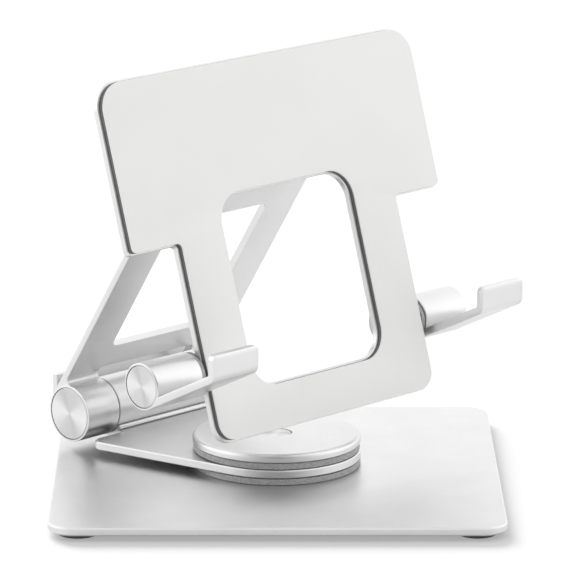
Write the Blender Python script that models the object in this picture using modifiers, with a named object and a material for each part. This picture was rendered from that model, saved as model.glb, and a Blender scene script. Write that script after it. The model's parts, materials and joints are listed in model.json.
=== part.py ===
"""Folding swivel tablet stand: base, turntable, rear support, tablet plate and two folding hooks.

The base stands square to X and Y with its front edge towards -Y. Everything above the
turntable is turned SWIVEL_ANGLE about the vertical swivel axis. The origin is on the desk,
under the middle of the whole stand's bounding box.
"""

import math

import bmesh
import bpy
from mathutils import Matrix, Vector

MM = 0.001
GAP = 0.25 * MM              # seam between two pieces that touch
BLEND = 0.06 * MM            # how far a sheet's face sits inside a knuckle it runs into
PIN_CLEARANCE = 0.3 * MM     # radial play of a pin in its bore
CUT = 2.0 * MM               # how far a cutter runs past the piece it cuts
OVERLAP = 0.5 * MM           # how far two joined shapes run into each other

# pose of the stand
SWIVEL_ANGLE = math.radians(45.3)
SUPPORT_LEAN = math.radians(32.9)    # forward lean of the rear support from vertical
PLATE_TILT = math.radians(16.6)      # backward lean of the tablet plate from vertical
HOOK_RISE = math.radians(26.2)       # rise of the hook arms above horizontal

# base
BASE_SIZE = 160.0 * MM
BASE_THICK = 3.0 * MM
BASE_CORNER = 9.0 * MM
BASE_EDGE_CHAMFER = 0.5 * MM
BASE_CENTRE = Vector((-3.5 * MM, 1.0 * MM))
FOOT_RADIUS = 7.2 * MM
FOOT_HEIGHT = 2.0 * MM
FOOT_CHAMFER = 0.3 * MM
FOOT_INSET = 10.6 * MM               # foot centre from the base's edges
BASE_TOP = FOOT_HEIGHT + BASE_THICK

# turntable, heights above the base's top face
SWIVEL_SETBACK = 2.8 * MM            # swivel axis behind the base's middle
DISC_RADIUS = 30.5 * MM
ARM_BOTTOM = 2.5 * MM
ARM_TOP = 5.5 * MM
RING_TOP = 8.1 * MM
DISC_TOP = 11.4 * MM
DISC_CHAMFER = 1.3 * MM
RING_BORE = 14.0 * MM
RING_STEP = 0.3 * MM                 # the spacer ring is this much slimmer than the discs
PIVOT_RADIUS = 4.0 * MM
PIVOT_HEAD_RADIUS = 8.0 * MM
PIVOT_HEAD_THICK = 1.6 * MM
PIVOT_WASHER_RADIUS = 11.0 * MM
PIVOT_WASHER_THICK = 1.0 * MM
PIVOT_NUT_FLATS = 13.0 * MM
HEAD_SINK = 0.1 * MM                 # screw heads lie this far inside the base's underside
CAP_RADIUS = 5.5 * MM
CAP_SEAT_DEPTH = 1.2 * MM
GLIDE_OUTER = 22.0 * MM
GLIDE_INNER = 10.0 * MM
GLIDE_DEPTH = 0.8 * MM
GLIDE_SEAM = 0.1 * MM
TURNTABLE_SCREW_CIRCLE = 26.0 * MM
TURNTABLE_SCREW_RADIUS = 1.5 * MM
TURNTABLE_SKIN = 0.6 * MM            # left over the blind screw holes

# swivel arm
ARM_FLARE = math.radians(10.5)
ARM_REAR_EDGE = 55.5 * MM            # rear edge behind the swivel axis
ARM_REAR_CORNER = 4.5 * MM

# lower hinge, where the arm meets the rear support
LOWER_HINGE_SETBACK = 67.4 * MM      # hinge axis behind the swivel axis
LOWER_RADIUS = 10.5 * MM
LOWER_PIN_RADIUS = 3.0 * MM
LOWER_COUNTERBORE = 7.0 * MM
FLANGE_FRONT = 10.7 * MM             # upright flange behind the middle knuckle, from the hinge axis
FLANGE_TOP = 12.0 * MM
FLANGE_HALF = 35.5 * MM              # it runs on behind the outer knuckles
FLANGE_ROOT = 4.0 * MM               # half height of the flange's root on the knuckle

# both hinges share their spacing along the axis
MIDDLE_HALF = 23.7 * MM              # half length of the middle knuckle
KNUCKLE_END = 38.2 * MM              # outer knuckles end here
HINGE_HALF = 39.6 * MM               # outer face of the end caps
COUNTERBORE_FLOOR = 29.0 * MM
KNUCKLE_SEAM = 0.3 * MM              # between the middle knuckle and the outer ones
SPRING_THICK = 1.2 * MM
HARDWARE_PLAY = 0.6 * MM             # washers and heads are this much smaller than their bores
PIN_TAIL = 1.0 * MM                  # the pin ends this far past its nut
CAP_EDGE = 0.4 * MM
SPIGOT_LENGTH = 1.5 * MM

# rear support
SHEET = 2.6 * MM                     # thickness of the support and of the tablet plate
HINGE_SPAN = 114.6 * MM              # lower axis to upper axis along the support
SUPPORT_WINDOW_HALF = 23.8 * MM
SUPPORT_WINDOW_LOW = 23.0 * MM
SUPPORT_WINDOW_HIGH = 84.5 * MM
SUPPORT_WINDOW_CORNER = 3.0 * MM
NOTCH_DEPTH = 12.5 * MM              # clears the middle knuckle
NOTCH_CORNER = 2.0 * MM
NOTCH_HALF = 24.2 * MM

# upper hinge, behind the tablet plate
UPPER_RADIUS = 8.4 * MM
UPPER_PIN_RADIUS = 2.5 * MM
UPPER_COUNTERBORE = 5.6 * MM
UPPER_SHOULDER = 10.6 * MM           # the support's shoulders stop this far below the axis
UPPER_STEP = 0.4 * MM                # the support's upper knuckle is this much slimmer
WEB_SHARE = 0.62                     # half width of a knuckle's web in knuckle radii

# tablet plate, heights along the plate from the level of the base's top face
PAD_THICK = 0.9 * MM
BACKING_THICK = 0.9 * MM
PLATE_LOW = 24.0 * MM
PLATE_HIGH = 156.2 * MM
WING_LOW = 95.3 * MM
WING_HALF = 79.0 * MM
LEG_HALF = 55.5 * MM
PLATE_CORNER = 10.0 * MM
WING_CORNER = 2.0 * MM
PLATE_FOOT_CORNER = 6.5 * MM
PLATE_WINDOW_HALF = 33.0 * MM
PLATE_WINDOW_LOW = 40.7 * MM
PLATE_WINDOW_HIGH = 108.8 * MM
PLATE_WINDOW_CORNER = 10.0 * MM
UPPER_HINGE_HEIGHT = 122.9 * MM
PAD_INSET = 0.3 * MM

# hooks
HOOK_HEIGHT = 50.2 * MM
HOOK_RADIUS = 8.4 * MM
HOOK_INNER = 57.6 * MM
HOOK_END = 78.3 * MM
HOOK_HALF = 79.6 * MM
HOOK_SHEET = 2.8 * MM
HOOK_REACH = 35.6 * MM               # hinge axis to the bend's outer corner
HOOK_LIP = 9.3 * MM                  # outer height of the lip
HOOK_BEND = math.pi / 2 - HOOK_RISE   # the lip stands upright
HOOK_PIN_RADIUS = 2.0 * MM
HOOK_COUNTERBORE = 4.8 * MM
HOOK_COUNTERBORE_FLOOR = 71.0 * MM
HOOK_SCREW_HEAD = 3.0 * MM
HOOK_BEND_RADIUS = 0.8 * MM          # inside of the bend
HOOK_TIP_RADIUS = 0.5 * MM
BOSS_WALL = 1.5 * MM                 # closes the boss's blind thread
BOSS_INNER = 44.2 * MM

# places that follow from the sizes above
METAL_FRONT = PAD_THICK + BACKING_THICK          # depth behind the pad's face
METAL_BACK = METAL_FRONT + SHEET
AXIS_DEPTH = METAL_BACK + UPPER_RADIUS           # upper hinge axis behind the pad's face
SUPPORT_BACK = LOWER_RADIUS - BLEND              # support's rear face behind the lower axis
SUPPORT_FRONT = SUPPORT_BACK - SHEET
SUPPORT_MIDDLE = SUPPORT_BACK - SHEET / 2
LEFT_AND_RIGHT = (("left", -1), ("right", 1))

BIG_ROUND = 64
ROUND = 40
SMALL_ROUND = 20


# ---------------------------------------------------------------- scene and materials

def clear_scene():
    for old in list(bpy.data.objects):
        bpy.data.objects.remove(old, do_unlink=True)


def new_collection(name):
    collection = bpy.data.collections.new(name)
    bpy.context.scene.collection.children.link(collection)
    return collection


clear_scene()
PARTS = new_collection("tablet_stand")
CUTTERS = new_collection("cutters")


def material(name, colour, roughness, metallic):
    made = bpy.data.materials.new(name)
    made.use_nodes = True
    shader = made.node_tree.nodes["Principled BSDF"]
    shader.inputs["Base Color"].default_value = (*colour, 1.0)
    shader.inputs["Roughness"].default_value = roughness
    shader.inputs["Metallic"].default_value = metallic
    return made


def satin_aluminium():
    return material("satin_aluminium", (0.80, 0.80, 0.80), 0.32, 1.0)


def spun_aluminium():
    return material("spun_aluminium", (0.72, 0.71, 0.71), 0.26, 1.0)


def grey_polymer():
    return material("grey_polymer", (0.42, 0.42, 0.42), 0.6, 0.0)


def pale_silicone():
    return material("pale_silicone", (0.76, 0.76, 0.75), 0.7, 0.0)


def dark_foam():
    return material("dark_foam", (0.10, 0.10, 0.10), 0.85, 0.0)


def dark_rubber():
    return material("dark_rubber", (0.08, 0.08, 0.08), 0.8, 0.0)


def zinc_steel():
    return material("zinc_steel", (0.55, 0.55, 0.56), 0.35, 1.0)


def white_nylon():
    return material("white_nylon", (0.82, 0.82, 0.80), 0.5, 0.0)


ALUMINIUM = satin_aluminium()
SPUN = spun_aluminium()
POLYMER = grey_polymer()
SILICONE = pale_silicone()
FOAM = dark_foam()
RUBBER = dark_rubber()
STEEL = zinc_steel()
NYLON = white_nylon()


# ---------------------------------------------------------------- frames

def frame(name, parent, location, rotation):
    empty = bpy.data.objects.new(name, None)
    empty.empty_display_size = 10 * MM
    empty.location = location
    empty.rotation_euler = rotation
    empty.parent = parent
    PARTS.objects.link(empty)
    return empty


BASE_FRAME = frame("base_frame", None, (BASE_CENTRE.x, BASE_CENTRE.y, 0), (0, 0, 0))
SWIVEL = frame("swivel_axis", BASE_FRAME, (0, SWIVEL_SETBACK, BASE_TOP), (0, 0, SWIVEL_ANGLE))
TURNTABLE = frame("turntable_frame", BASE_FRAME, (0, SWIVEL_SETBACK, BASE_TOP), (0, 0, 0))
LOWER = frame(
    "lower_hinge_axis",
    SWIVEL,
    (0, LOWER_HINGE_SETBACK, ARM_BOTTOM + LOWER_RADIUS),
    (SUPPORT_LEAN, 0, 0),
)
UPPER = frame(
    "upper_hinge_axis",
    LOWER,
    (0, SUPPORT_MIDDLE, HINGE_SPAN),
    (-PLATE_TILT - SUPPORT_LEAN, 0, 0),
)
HOOK_AXES = {
    side: frame(
        "hook_axis_" + side,
        UPPER,
        (0, HOOK_RADIUS - AXIS_DEPTH, HOOK_HEIGHT - UPPER_HINGE_HEIGHT),
        (PLATE_TILT - HOOK_RISE, 0, 0),
    )
    for side, _ in LEFT_AND_RIGHT
}


# ---------------------------------------------------------------- shape helpers

def place(name, mesh, parent, finish, collection=PARTS):
    made = bpy.data.objects.new(name, mesh)
    made.parent = parent
    collection.objects.link(made)
    if finish:
        mesh.materials.append(finish)
    return made


def as_cutter(shape):
    PARTS.objects.unlink(shape)
    CUTTERS.objects.link(shape)
    shape.hide_render = True
    shape.display_type = "WIRE"
    return shape


def boolean(piece, other, operation):
    step = piece.modifiers.new(other.name, "BOOLEAN")
    step.operation = operation
    step.object = as_cutter(other)


def cut(piece, other):
    boolean(piece, other, "DIFFERENCE")


def join(piece, other):
    boolean(piece, other, "UNION")


def smooth(mesh):
    mesh.shade_smooth()
    mesh.set_sharp_from_angle(angle=math.radians(30))


def rod(name, parent, finish, radius, start, end, axis="X", offset=(0, 0, 0), sides=ROUND):
    """A solid cylinder along a local axis, from start to end on that axis."""
    shape = bmesh.new()
    bmesh.ops.create_cone(
        shape,
        cap_ends=True,
        segments=sides,
        radius1=radius,
        radius2=radius,
        depth=abs(end - start),
    )
    turn = Matrix.Rotation(math.pi / 2, 4, "Y") if axis == "X" else Matrix.Identity(4)
    along = Vector((1, 0, 0)) if axis == "X" else Vector((0, 0, 1))
    move = Matrix.Translation(along * (start + end) / 2 + Vector(offset))
    bmesh.ops.transform(shape, matrix=move @ turn, verts=shape.verts)
    mesh = bpy.data.meshes.new(name)
    shape.to_mesh(mesh)
    shape.free()
    smooth(mesh)
    return place(name, mesh, parent, finish)


def block(name, parent, finish, low, high):
    """A solid box between two corners."""
    shape = bmesh.new()
    bmesh.ops.create_cube(shape, size=1)
    low = Vector(low)
    high = Vector(high)
    size = Matrix.Diagonal((*(high - low), 1))
    move = Matrix.Translation((low + high) / 2)
    bmesh.ops.transform(shape, matrix=move @ size, verts=shape.verts)
    mesh = bpy.data.meshes.new(name)
    shape.to_mesh(mesh)
    shape.free()
    return place(name, mesh, parent, finish)


def turned(name, parent, finish, profile, sides=ROUND):
    """A ring or disc about local Z; the profile is (radius, height), down its outer side first."""
    mesh = bpy.data.meshes.new(name)
    count = len(profile)
    on_axis = profile[0][0] == 0
    edges = [(i, i + 1) for i in range(count - 1)]
    if not on_axis:
        edges.append((count - 1, 0))
    mesh.from_pydata([(r, 0, z) for r, z in profile], edges, [])
    made = place(name, mesh, parent, finish)
    spin = made.modifiers.new("turn", "SCREW")
    spin.axis = "Z"
    spin.steps = sides
    spin.render_steps = sides
    spin.use_merge_vertices = True
    spin.merge_threshold = 0.00001
    spin.use_smooth_shade = False
    return made


def arc(centre, radius, start, end, steps):
    """Points on an arc, angles in radians."""
    turns = [start + (end - start) * i / steps for i in range(steps + 1)]
    return [(centre[0] + radius * math.cos(t), centre[1] + radius * math.sin(t)) for t in turns]


def rounded(corners, steps=6):
    """The outline through (x, y, radius) corners, each rounded with an arc."""
    points = []
    count = len(corners)
    for i, (x, y, radius) in enumerate(corners):
        here = Vector((x, y))
        if radius == 0:
            points.append((x, y))
            continue
        before = (Vector(corners[i - 1][:2]) - here).normalized()
        after = (Vector(corners[(i + 1) % count][:2]) - here).normalized()
        half = before.angle(after) / 2
        centre = here + (before + after).normalized() * (radius / math.sin(half))
        start = here + before * (radius / math.tan(half)) - centre
        end = here + after * (radius / math.tan(half)) - centre
        first = math.atan2(start.y, start.x)
        turn = start.angle_signed(end)
        points += arc(centre, radius, first, first - turn, steps)
    return points


def sheet(name, parent, finish, outlines, low, high, upright=False):
    """A flat plate from closed outlines, between two heights. An upright plate stands in X and Z."""
    drawing = bpy.data.curves.new(name, "CURVE")
    drawing.dimensions = "2D"
    drawing.fill_mode = "BOTH"
    drawing.extrude = (high - low) / 2
    for points in outlines:
        line = drawing.splines.new("POLY")
        line.points.add(len(points) - 1)
        for point, (x, y) in zip(line.points, points):
            point.co = (x, y, 0, 1)
        line.use_cyclic_u = True
    drawn = bpy.data.objects.new(name + "_outline", drawing)
    PARTS.objects.link(drawn)
    bpy.context.view_layer.update()
    evaluated = drawn.evaluated_get(bpy.context.evaluated_depsgraph_get())
    mesh = bpy.data.meshes.new_from_object(evaluated)
    bpy.data.objects.remove(drawn)
    shape = bmesh.new()
    shape.from_mesh(mesh)
    bmesh.ops.remove_doubles(shape, verts=shape.verts, dist=0.000001)
    turn = Matrix.Rotation(math.pi / 2, 4, "X") if upright else Matrix.Identity(4)
    lift = Vector((0, 1, 0)) if upright else Vector((0, 0, 1))
    move = Matrix.Translation(lift * (low + high) / 2)
    bmesh.ops.transform(shape, matrix=move @ turn, verts=shape.verts)
    bmesh.ops.recalc_face_normals(shape, faces=shape.faces)
    shape.to_mesh(mesh)
    shape.free()
    mesh.name = name
    return place(name, mesh, parent, finish)


def edge_chamfer(piece, width):
    step = piece.modifiers.new("edge", "BEVEL")
    step.width = width
    step.segments = 1
    step.limit_method = "ANGLE"
    step.angle_limit = math.radians(60)


def hex_nut(name, parent, across_flats, bore, start, end, axis="X"):
    across_corners = across_flats / math.sqrt(3)
    nut = rod(name, parent, STEEL, across_corners, start, end, axis, sides=6)
    low = min(start, end) - CUT
    high = max(start, end) + CUT
    cut(nut, rod(name + "_bore", parent, None, bore, low, high, axis, sides=SMALL_ROUND))
    return nut


def tube(name, parent, finish, outer, inner, start, end, axis="X", sides=ROUND):
    ring = rod(name, parent, finish, outer, start, end, axis, sides=sides)
    low = min(start, end) - CUT
    high = max(start, end) + CUT
    cut(ring, rod(name + "_bore", parent, None, inner, low, high, axis, sides=sides))
    return ring


# ---------------------------------------------------------------- base

def base_plate():
    half = BASE_SIZE / 2
    corners = [(-half, -half), (half, -half), (half, half), (-half, half)]
    outline = rounded([(x, y, BASE_CORNER) for x, y in corners], steps=8)
    plate = sheet("base_plate", BASE_FRAME, ALUMINIUM, [outline], FOOT_HEIGHT, BASE_TOP)
    edge_chamfer(plate, BASE_EDGE_CHAMFER)
    pivot = PIVOT_RADIUS + PIN_CLEARANCE
    cut(plate, rod("pivot_bore", TURNTABLE, None, pivot, -BASE_THICK - CUT, CUT, "Z"))
    head = PIVOT_HEAD_RADIUS + PIN_CLEARANCE
    floor = -BASE_THICK + PIVOT_HEAD_THICK + GAP
    cut(plate, rod("pivot_counterbore", TURNTABLE, None, head, -BASE_THICK - CUT, floor, "Z"))
    for number, place_at in enumerate(screw_places(), start=1):
        bore = TURNTABLE_SCREW_RADIUS + PIN_CLEARANCE
        name = f"base_screw_bore_{number}"
        cut(plate, rod(name, TURNTABLE, None, bore, -BASE_THICK - CUT, CUT, "Z", place_at, SMALL_ROUND))
        head = 2 * TURNTABLE_SCREW_RADIUS + PIN_CLEARANCE
        name = f"base_screw_seat_{number}"
        floor = -BASE_THICK + TURNTABLE_SCREW_RADIUS + GAP
        cut(plate, rod(name, TURNTABLE, None, head, -BASE_THICK - CUT, floor, "Z", place_at, SMALL_ROUND))
    return plate


def screw_places():
    """Three places round the swivel axis, one of them towards the rear."""
    turns = [math.pi / 2 + i * math.tau / 3 for i in range(3)]
    reach = TURNTABLE_SCREW_CIRCLE
    return [(reach * math.cos(t), reach * math.sin(t), 0) for t in turns]


def feet():
    reach = BASE_SIZE / 2 - FOOT_INSET
    for end, y in (("front", -reach), ("rear", reach)):
        for side, sign in LEFT_AND_RIGHT:
            name = f"foot_{end}_{side}"
            foot = rod(
                name, BASE_FRAME, RUBBER, FOOT_RADIUS, 0, FOOT_HEIGHT - GAP, "Z", (sign * reach, y, 0)
            )
            edge_chamfer(foot, FOOT_CHAMFER)


def turntable_base():
    low = GAP
    high = ARM_BOTTOM - GAP
    disc = rod("turntable_base", TURNTABLE, POLYMER, DISC_RADIUS, low, high, "Z", sides=BIG_ROUND)
    bore = PIVOT_RADIUS + PIN_CLEARANCE
    cut(disc, rod("turntable_bore", TURNTABLE, None, bore, low - CUT, high + CUT, "Z"))
    seat = rod(
        "glide_seat", TURNTABLE, None, GLIDE_OUTER + PIN_CLEARANCE, high - GLIDE_DEPTH, high + CUT, "Z"
    )
    cut(disc, seat)
    for number, place_at in enumerate(screw_places(), start=1):
        name = f"turntable_thread_{number}"
        bore = TURNTABLE_SCREW_RADIUS + PIN_CLEARANCE
        floor = high - TURNTABLE_SKIN
        cut(disc, rod(name, TURNTABLE, None, bore, low - CUT, floor, "Z", place_at, SMALL_ROUND))
    return disc


def turntable_screws():
    for number, place_at in enumerate(screw_places(), start=1):
        name = f"turntable_screw_{number}"
        low = -BASE_THICK + HEAD_SINK
        head_top = -BASE_THICK + TURNTABLE_SCREW_RADIUS
        shank_top = ARM_BOTTOM - GAP - TURNTABLE_SKIN - PIN_CLEARANCE
        head_radius = 2 * TURNTABLE_SCREW_RADIUS
        screw = rod(name, TURNTABLE, STEEL, head_radius, low, head_top, "Z", place_at, SMALL_ROUND)
        shank = rod(
            name + "_shank",
            TURNTABLE,
            None,
            TURNTABLE_SCREW_RADIUS,
            head_top - OVERLAP,
            shank_top,
            "Z",
            place_at,
            SMALL_ROUND,
        )
        join(screw, shank)


def pivot():
    """The pivot bolt comes up through the base and is held by a nut inside the spacer ring."""
    low = -BASE_THICK + HEAD_SINK
    head_top = -BASE_THICK + PIVOT_HEAD_THICK
    nut_low = ARM_TOP + PIVOT_WASHER_THICK
    nut_high = RING_TOP - GAP
    bolt = rod("pivot_bolt", TURNTABLE, STEEL, PIVOT_HEAD_RADIUS, low, head_top, "Z")
    shank_low = head_top - OVERLAP
    join(bolt, rod("pivot_shank", TURNTABLE, None, PIVOT_RADIUS, shank_low, nut_high, "Z"))
    bore = PIVOT_RADIUS + PIN_CLEARANCE
    hex_nut("pivot_nut", TURNTABLE, PIVOT_NUT_FLATS, bore, nut_low, nut_high, "Z")
    washer_low = ARM_TOP + GAP
    washer_high = nut_low - GAP / 2
    tube("pivot_washer", SWIVEL, NYLON, PIVOT_WASHER_RADIUS, bore, washer_low, washer_high, "Z")
    glide_low = ARM_BOTTOM - GAP - GLIDE_DEPTH + GLIDE_SEAM
    glide_high = ARM_BOTTOM - GLIDE_SEAM
    tube("glide_ring", TURNTABLE, NYLON, GLIDE_OUTER, GLIDE_INNER, glide_low, glide_high, "Z")


# ---------------------------------------------------------------- turntable's turning half

def arm_outline():
    """A round end about the swivel axis, flared back to a straight rear edge."""
    start = math.pi + ARM_FLARE
    front = arc((0, 0), DISC_RADIUS, start, math.tau - ARM_FLARE, 32)
    tangent = Vector(front[-1])
    spread = (ARM_REAR_EDGE - tangent.y) * math.tan(ARM_FLARE)
    half = tangent.x + spread
    rear = rounded(
        [
            (*front[-1], 0),
            (half, ARM_REAR_EDGE, ARM_REAR_CORNER),
            (-half, ARM_REAR_EDGE, ARM_REAR_CORNER),
            (*front[0], 0),
        ]
    )
    return front[:-1] + rear[:-1]


def swivel_arm():
    arm = sheet("swivel_arm", SWIVEL, ALUMINIUM, [arm_outline()], ARM_BOTTOM, ARM_TOP)
    axis_height = ARM_BOTTOM + LOWER_RADIUS
    tongue = block(
        "arm_tongue",
        SWIVEL,
        None,
        (-MIDDLE_HALF, ARM_REAR_EDGE - CUT, ARM_BOTTOM),
        (MIDDLE_HALF, LOWER_HINGE_SETBACK, ARM_TOP),
    )
    join(arm, tongue)
    centre = (0, LOWER_HINGE_SETBACK, axis_height)
    join(arm, rod("arm_knuckle", SWIVEL, None, LOWER_RADIUS, -MIDDLE_HALF, MIDDLE_HALF, "X", centre))
    add_rear_flange(arm, axis_height)
    bore = LOWER_PIN_RADIUS + PIN_CLEARANCE
    reach = MIDDLE_HALF + CUT
    cut(arm, rod("arm_pin_bore", SWIVEL, None, bore, -reach, reach, "X", centre, SMALL_ROUND))
    pivot_bore = PIVOT_RADIUS + PIN_CLEARANCE
    cut(arm, rod("arm_pivot_bore", SWIVEL, None, pivot_bore, ARM_BOTTOM - CUT, ARM_TOP + CUT, "Z"))
    return arm


def add_rear_flange(arm, axis_height):
    """An upright flange that closes the support's notch from behind."""
    front = LOWER_HINGE_SETBACK + FLANGE_FRONT
    back = front + SHEET
    low = axis_height - FLANGE_ROOT
    root_front = LOWER_HINGE_SETBACK + LOWER_RADIUS - SHEET
    root = (-MIDDLE_HALF, root_front, low), (MIDDLE_HALF, back - OVERLAP, axis_height + FLANGE_ROOT)
    wall = (-FLANGE_HALF, front, low), (FLANGE_HALF, back, axis_height + FLANGE_TOP)
    join(arm, block("arm_flange_root", SWIVEL, None, *root))
    join(arm, block("arm_flange", SWIVEL, None, *wall))


def swivel_ring():
    return tube(
        "spacer_ring",
        SWIVEL,
        POLYMER,
        DISC_RADIUS - RING_STEP,
        RING_BORE,
        ARM_TOP + GAP,
        RING_TOP,
        "Z",
        BIG_ROUND,
    )


def top_disc():
    low = RING_TOP + GAP
    seat = CAP_RADIUS + GAP
    seat_floor = DISC_TOP - CAP_SEAT_DEPTH
    profile = [
        (0, seat_floor),
        (seat, seat_floor),
        (seat, DISC_TOP),
        (DISC_RADIUS - DISC_CHAMFER, DISC_TOP),
        (DISC_RADIUS, DISC_TOP - DISC_CHAMFER),
        (DISC_RADIUS, low),
        (0, low),
    ]
    return turned("top_disc", SWIVEL, ALUMINIUM, profile, BIG_ROUND)


def disc_cap():
    low = DISC_TOP - CAP_SEAT_DEPTH + GAP
    return rod("disc_cap", SWIVEL, SPUN, CAP_RADIUS, low, DISC_TOP - GAP, "Z", sides=ROUND)


# ---------------------------------------------------------------- hinge hardware

def hinge_hardware(prefix, frame_of, radius, pin_radius, counterbore):
    """Pin, nuts, spring washers and spun end caps of a hinge on its own axis."""
    nut_start = COUNTERBORE_FLOOR + SPRING_THICK
    nut_end = nut_start + 1.4 * pin_radius
    pin_end = nut_end + PIN_TAIL
    rod(prefix + "_pin", frame_of, STEEL, pin_radius, -pin_end, pin_end, sides=SMALL_ROUND)
    loose = pin_radius + PIN_CLEARANCE
    for side, sign in LEFT_AND_RIGHT:
        washer_start = sign * (COUNTERBORE_FLOOR + GAP)
        washer_end = sign * (nut_start - GAP)
        washer = counterbore - HARDWARE_PLAY
        name = f"{prefix}_spring_{side}"
        tube(name, frame_of, STEEL, washer, loose, washer_start, washer_end, sides=SMALL_ROUND)
        name = f"{prefix}_nut_{side}"
        hex_nut(name, frame_of, 1.6 * counterbore, loose, sign * nut_start, sign * nut_end)
        end_cap(f"{prefix}_cap_{side}", frame_of, sign, radius, counterbore, KNUCKLE_END, HINGE_HALF)


def end_cap(name, frame_of, sign, radius, counterbore, knuckle_end, outer_face):
    cap = rod(name, frame_of, SPUN, radius, sign * (knuckle_end + GAP), sign * outer_face)
    edge_chamfer(cap, CAP_EDGE)
    spigot_start = sign * (knuckle_end - SPIGOT_LENGTH)
    spigot_end = sign * (knuckle_end + 2 * GAP)
    spigot = rod(name + "_spigot", frame_of, None, counterbore - PIN_CLEARANCE, spigot_start, spigot_end)
    join(cap, spigot)
    return cap


def counterbored(piece, frame_of, pin_radius, counterbore, floor, end, prefix):
    """Bores a pin hole through a piece and a counterbore in from each outer end."""
    loose = pin_radius + PIN_CLEARANCE
    reach = end + CUT
    cut(piece, rod(prefix + "_pin_bore", frame_of, None, loose, -reach, reach, sides=SMALL_ROUND))
    for side, sign in LEFT_AND_RIGHT:
        name = f"{prefix}_counterbore_{side}"
        bore = rod(name, frame_of, None, counterbore, sign * floor, sign * reach, sides=SMALL_ROUND)
        cut(piece, bore)


# ---------------------------------------------------------------- rear support

def support_outline():
    """Plate with a notch at its foot for the arm's knuckle and a tongue at its top."""
    shoulder = HINGE_SPAN - UPPER_SHOULDER
    half = KNUCKLE_END
    return rounded(
        [
            (-half, 0, 0),
            (-NOTCH_HALF, 0, 0),
            (-NOTCH_HALF, NOTCH_DEPTH, NOTCH_CORNER),
            (NOTCH_HALF, NOTCH_DEPTH, NOTCH_CORNER),
            (NOTCH_HALF, 0, 0),
            (half, 0, 0),
            (half, shoulder, NOTCH_CORNER),
            (MIDDLE_HALF, shoulder, 0),
            (MIDDLE_HALF, HINGE_SPAN, 0),
            (-MIDDLE_HALF, HINGE_SPAN, 0),
            (-MIDDLE_HALF, shoulder, 0),
            (-half, shoulder, NOTCH_CORNER),
        ],
        steps=4,
    )


def window(half, low, high, radius, steps=4):
    corners = [(-half, low), (half, low), (half, high), (-half, high)]
    return rounded([(x, y, radius) for x, y in corners], steps)


def support_plate():
    opening = window(SUPPORT_WINDOW_HALF, SUPPORT_WINDOW_LOW, SUPPORT_WINDOW_HIGH, SUPPORT_WINDOW_CORNER)
    outlines = [support_outline(), opening]
    plate = sheet("support_plate", LOWER, ALUMINIUM, outlines, SUPPORT_FRONT, SUPPORT_BACK, upright=True)
    for side, sign in LEFT_AND_RIGHT:
        start = sign * (MIDDLE_HALF + KNUCKLE_SEAM)
        join(plate, rod("support_knuckle_" + side, LOWER, None, LOWER_RADIUS, start, sign * KNUCKLE_END))
    barrel_radius = UPPER_RADIUS - UPPER_STEP
    join(plate, rod("support_upper_knuckle", UPPER, None, barrel_radius, -MIDDLE_HALF, MIDDLE_HALF))
    counterbored(plate, LOWER, LOWER_PIN_RADIUS, LOWER_COUNTERBORE, COUNTERBORE_FLOOR, KNUCKLE_END, "lower")
    loose = UPPER_PIN_RADIUS + PIN_CLEARANCE
    reach = MIDDLE_HALF + CUT
    cut(plate, rod("support_upper_bore", UPPER, None, loose, -reach, reach, sides=SMALL_ROUND))
    return plate


# ---------------------------------------------------------------- tablet plate

def plate_outline(inset=0.0):
    """T-shaped outline: a wide head over a narrower leg, heights from the upper hinge."""
    low = PLATE_LOW - UPPER_HINGE_HEIGHT + inset
    wing = WING_LOW - UPPER_HINGE_HEIGHT + inset
    high = PLATE_HIGH - UPPER_HINGE_HEIGHT - inset
    head = WING_HALF - inset
    leg = LEG_HALF - inset
    return rounded(
        [
            (-leg, low, PLATE_FOOT_CORNER),
            (leg, low, PLATE_FOOT_CORNER),
            (leg, wing, WING_CORNER),
            (head, wing, WING_CORNER),
            (head, high, PLATE_CORNER),
            (-head, high, PLATE_CORNER),
            (-head, wing, WING_CORNER),
            (-leg, wing, WING_CORNER),
        ]
    )


def plate_window(inset=0.0):
    low = PLATE_WINDOW_LOW - UPPER_HINGE_HEIGHT - inset
    high = PLATE_WINDOW_HIGH - UPPER_HINGE_HEIGHT + inset
    return window(PLATE_WINDOW_HALF + inset, low, high, PLATE_WINDOW_CORNER, 7)


def plate_layer(name, finish, front, back, inset):
    """One layer of the plate between two depths behind the pad's face."""
    outlines = [plate_outline(inset), plate_window(inset)]
    low = front - AXIS_DEPTH
    high = back - AXIS_DEPTH
    return sheet(name, UPPER, finish, outlines, low, high, upright=True)


def tablet_plate():
    plate = plate_layer("tablet_plate", ALUMINIUM, METAL_FRONT, METAL_BACK, 0.0)
    for side, sign in LEFT_AND_RIGHT:
        add_hinge_knuckle(plate, side, sign)
        add_hook_boss(plate, side, sign)
    counterbored(plate, UPPER, UPPER_PIN_RADIUS, UPPER_COUNTERBORE, COUNTERBORE_FLOOR, KNUCKLE_END, "upper")
    return plate


def add_hinge_knuckle(plate, side, sign):
    """A knuckle on the plate's back, carried on a short web."""
    start = sign * (MIDDLE_HALF + KNUCKLE_SEAM)
    end = sign * KNUCKLE_END
    join(plate, rod("plate_knuckle_" + side, UPPER, None, UPPER_RADIUS, start, end))
    web_half = UPPER_RADIUS * WEB_SHARE
    web_low = (min(start, end), METAL_BACK - AXIS_DEPTH - SHEET / 2, -web_half)
    web_high = (max(start, end), -web_half, web_half)
    join(plate, block("plate_web_" + side, UPPER, None, web_low, web_high))


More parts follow.
